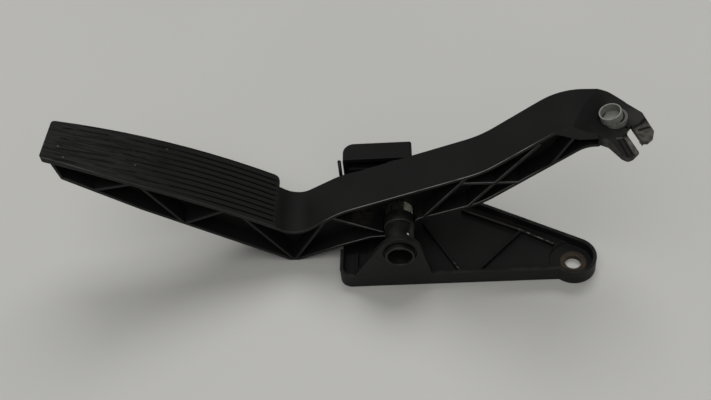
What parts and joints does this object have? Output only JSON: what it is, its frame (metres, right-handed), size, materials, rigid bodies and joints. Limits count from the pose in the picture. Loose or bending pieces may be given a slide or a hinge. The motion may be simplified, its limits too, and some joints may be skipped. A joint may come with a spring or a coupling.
{
  "type": "accelerator pedal",
  "caption": "Cable-operated accelerator pedal: a moulded lever with a grooved tread and a cable fork, turning on a steel shaft in a moulded bracket with coil return springs.",
  "frame": {"origin": "on the bracket's mounting face, below the pivot and on the lever's middle plane", "axes": "+X from the tread towards the cable fork, +Y from the bearing ear towards the far block, +Z out of the mounting face"},
  "size_m": [0.2928, 0.0713, 0.0938],
  "materials": {
    "lever_nylon": "worn satin moulding",
    "bracket_nylon": "satin moulding",
    "bearing_plastic": "smooth",
    "shaft_steel": "knurled, lightly greased",
    "spring_steel": "dark drawn wire",
    "plated_steel": "dull yellow plating",
    "grey_plastic": "smooth",
    "buffer_rubber": "matt"
  },
  "bodies": {
    "bracket": {"bracket": "bracket_nylon", "near_bearing_sleeve": "bearing_plastic", "far_bearing_bush": "bearing_plastic", "tail_bolt_sleeve": "plated_steel", "side_bolt_sleeve": "plated_steel", "rest_buffer": "buffer_rubber", "outer_return_spring": "spring_steel", "inner_return_spring": "spring_steel"},
    "pedal": {"lever": "lever_nylon", "pivot_shaft": "shaft_steel", "thrust_collar": "bearing_plastic", "spring_guide": "bearing_plastic", "cable_grommet": "grey_plastic"}
  },
  "joints": [
    {"name": "pedal_pivot", "type": "hinge", "parent": "bracket", "child": "pedal", "pos_m": [0, 0, 0.0265], "axis": [0, -1, 0], "range_deg": [0, 12], "stiffness_Nm_per_rad": 3, "springref_deg": -28.65, "deforming": ["outer_return_spring", "inner_return_spring"]}
  ]
}
